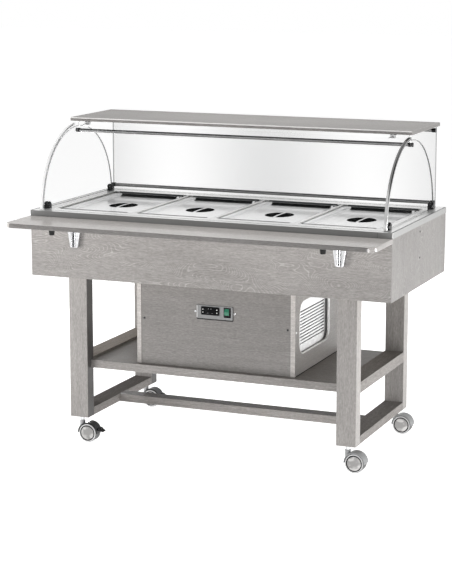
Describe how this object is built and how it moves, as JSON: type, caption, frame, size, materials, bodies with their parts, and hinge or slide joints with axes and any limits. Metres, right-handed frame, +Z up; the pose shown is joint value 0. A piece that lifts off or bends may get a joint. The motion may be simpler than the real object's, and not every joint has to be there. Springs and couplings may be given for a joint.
{
  "type": "refrigerated serving trolley",
  "caption": "Wooden buffet trolley with a chilled well for food pans, clear hood with top board, folding tray slide, machine box on the lower shelf and swivel castors.",
  "frame": {"origin": "on the floor, under the middle of the bounding box", "axes": "+Z up, the front with the tray slide faces -Y, +X to the right seen from the front"},
  "size_m": [1.484, 0.919, 1.264],
  "materials": {
    "wood_veneer": "grey-brown stained veneer, satin lacquer",
    "plywood": "plain plywood",
    "stainless": "satin stainless sheet",
    "insulation": "pressed fibre insulation",
    "grille": "bright louvre sheet",
    "clear_sheet": "clear polished sheet with bright edges",
    "tube_steel": "polished steel tube",
    "chrome": "bright chrome",
    "black_plastic": "black moulded plastic",
    "grey_plastic": "grey moulded plastic",
    "wheel_plastic": "dark tread with grey disc",
    "black_rubber": "black rubber",
    "plate_grey": "satin grey plate",
    "green_lens": "translucent green rocker",
    "key_plastic": "black key with a pale mark",
    "black_paint": "black enamel",
    "fin_aluminium": "bare fins and blades",
    "copper": "bare copper pipe"
  },
  "bodies": {
    "trolley": {"legs": "wood_veneer", "end_rails": "wood_veneer", "stretcher": "wood_veneer", "lower_shelf": "wood_veneer", "body_panels": "wood_veneer", "body_floor": "plywood", "counter_top": "stainless", "well_tank": "stainless", "well_insulation": "insulation", "pan_bars": "stainless", "box_front_panel": "wood_veneer", "box_panels": "wood_veneer", "vent_grille": "grille", "control_plate": "plate_grey", "controller": "black_plastic", "switch_frame": "black_plastic", "compressor": "black_paint", "condenser": "fin_aluminium", "fan_shroud": "black_paint", "refrigerant_pipes": "copper", "cable_gland": "black_plastic", "end_panels": "clear_sheet", "back_panel": "clear_sheet", "top_board": "wood_veneer", "hood_tubes": "tube_steel", "hood_fittings": "black_plastic", "board_posts": "tube_steel", "hinge_leaves": "tube_steel", "tray_brackets": "chrome", "castor_stems": "chrome", "panel_screws": "chrome"},
    "screen": {"front_screen": "clear_sheet", "screen_leaves": "tube_steel"},
    "tray_slide": {"tray_board": "wood_veneer", "tray_arms": "chrome", "tray_buffers": "black_rubber"},
    "switch_rocker": {"rocker": "green_lens"},
    "fan": {"fan_blade": "fin_aluminium"},
    "pan_1": {"pan_1": "stainless"},
    "lid_1": {"lid_1": "stainless"},
    "key_1": {"key_1": "key_plastic"},
    "pan_2": {"pan_2": "stainless"},
    "lid_2": {"lid_2": "stainless"},
    "key_2": {"key_2": "key_plastic"},
    "pan_3": {"pan_3": "stainless"},
    "lid_3": {"lid_3": "stainless"},
    "key_3": {"key_3": "key_plastic"},
    "pan_4": {"pan_4": "stainless"},
    "lid_4": {"lid_4": "stainless"},
    "key_4": {"key_4": "key_plastic"},
    "castor_front_left": {"castor_front_left": "black_plastic"},
    "wheels_front_left": {"wheels_front_left": "wheel_plastic"},
    "brake_front_left": {"brake_front_left": "black_plastic"},
    "castor_front_right": {"castor_front_right": "grey_plastic"},
    "wheels_front_right": {"wheels_front_right": "wheel_plastic"},
    "castor_rear_left": {"castor_rear_left": "black_plastic"},
    "wheels_rear_left": {"wheels_rear_left": "wheel_plastic"},
    "brake_rear_left": {"brake_rear_left": "black_plastic"},
    "castor_rear_right": {"castor_rear_right": "grey_plastic"},
    "wheels_rear_right": {"wheels_rear_right": "wheel_plastic"}
  },
  "joints": [
    {"name": "screen_hinge", "type": "hinge", "parent": "trolley", "child": "screen", "pos_m": [0, 0.0635, 1.2445], "axis": [-1, 0, 0], "range_deg": [0, 60]},
    {"name": "tray_fold", "type": "hinge", "parent": "trolley", "child": "tray_slide", "pos_m": [0, -0.254, 0.879], "axis": [1, 0, 0], "range_deg": [0, 90]},
    {"name": "rocker_tilt", "type": "hinge", "parent": "trolley", "child": "switch_rocker", "pos_m": [0.051, -0.1425, 0.561], "axis": [1, 0, 0], "range_deg": [0, 20]},
    {"name": "fan_spin", "type": "hinge", "parent": "trolley", "child": "fan", "pos_m": [0.25, 0.0765, 0.508], "axis": [1, 0, 0], "continuous": true},
    {"name": "pan_1_lift", "type": "slide", "parent": "trolley", "child": "pan_1", "axis": [0, 0, 1], "range_m": [0, 0.05]},
    {"name": "lid_1_lift", "type": "slide", "parent": "pan_1", "child": "lid_1", "axis": [0, 0, 1], "range_m": [0, 0.06]},
    {"name": "key_1_press", "type": "slide", "parent": "trolley", "child": "key_1", "axis": [0, 1, 0], "range_m": [0, 0.0006], "stiffness_N_per_m": 1000},
    {"name": "pan_2_lift", "type": "slide", "parent": "trolley", "child": "pan_2", "axis": [0, 0, 1], "range_m": [0, 0.05]},
    {"name": "lid_2_lift", "type": "slide", "parent": "pan_2", "child": "lid_2", "axis": [0, 0, 1], "range_m": [0, 0.06]},
    {"name": "key_2_press", "type": "slide", "parent": "trolley", "child": "key_2", "axis": [0, 1, 0], "range_m": [0, 0.0006], "stiffness_N_per_m": 1000},
    {"name": "pan_3_lift", "type": "slide", "parent": "trolley", "child": "pan_3", "axis": [0, 0, 1], "range_m": [0, 0.05]},
    {"name": "lid_3_lift", "type": "slide", "parent": "pan_3", "child": "lid_3", "axis": [0, 0, 1], "range_m": [0, 0.06]},
    {"name": "key_3_press", "type": "slide", "parent": "trolley", "child": "key_3", "axis": [0, 1, 0], "range_m": [0, 0.0006], "stiffness_N_per_m": 1000},
    {"name": "pan_4_lift", "type": "slide", "parent": "trolley", "child": "pan_4", "axis": [0, 0, 1], "range_m": [0, 0.05]},
    {"name": "lid_4_lift", "type": "slide", "parent": "pan_4", "child": "lid_4", "axis": [0, 0, 1], "range_m": [0, 0.06]},
    {"name": "key_4_press", "type": "slide", "parent": "trolley", "child": "key_4", "axis": [0, 1, 0], "range_m": [0, 0.0006], "stiffness_N_per_m": 1000},
    {"name": "swivel_front_left", "type": "hinge", "parent": "trolley", "child": "castor_front_left", "pos_m": [-0.557, -0.1785, 0.09], "axis": [0, 0, 1], "continuous": true},
    {"name": "roll_front_left", "type": "hinge", "parent": "castor_front_left", "child": "wheels_front_left", "pos_m": [-0.525, -0.1785, 0.0375], "axis": [0, 1, 0], "continuous": true},
    {"name": "brake_front_left_press", "type": "hinge", "parent": "castor_front_left", "child": "brake_front_left", "pos_m": [-0.4799, -0.1785, 0.05392], "axis": [0, 1, 0], "range_deg": [0, 12]},
    {"name": "swivel_front_right", "type": "hinge", "parent": "trolley", "child": "castor_front_right", "pos_m": [0.557, -0.1785, 0.09], "axis": [0, 0, 1], "continuous": true},
    {"name": "roll_front_right", "type": "hinge", "parent": "castor_front_right", "child": "wheels_front_right", "pos_m": [0.589, -0.1785, 0.0375], "axis": [0, 1, 0], "continuous": true},
    {"name": "swivel_rear_left", "type": "hinge", "parent": "trolley", "child": "castor_rear_left", "pos_m": [-0.557, 0.4155, 0.09], "axis": [0, 0, 1], "continuous": true},
    {"name": "roll_rear_left", "type": "hinge", "parent": "castor_rear_left", "child": "wheels_rear_left", "pos_m": [-0.525, 0.4155, 0.0375], "axis": [0, 1, 0], "continuous": true},
    {"name": "brake_rear_left_press", "type": "hinge", "parent": "castor_rear_left", "child": "brake_rear_left", "pos_m": [-0.4799, 0.4155, 0.05392], "axis": [0, 1, 0], "range_deg": [0, 12]},
    {"name": "swivel_rear_right", "type": "hinge", "parent": "trolley", "child": "castor_rear_right", "pos_m": [0.557, 0.4155, 0.09], "axis": [0, 0, 1], "continuous": true},
    {"name": "roll_rear_right", "type": "hinge", "parent": "castor_rear_right", "child": "wheels_rear_right", "pos_m": [0.589, 0.4155, 0.0375], "axis": [0, 1, 0], "continuous": true}
  ]
}
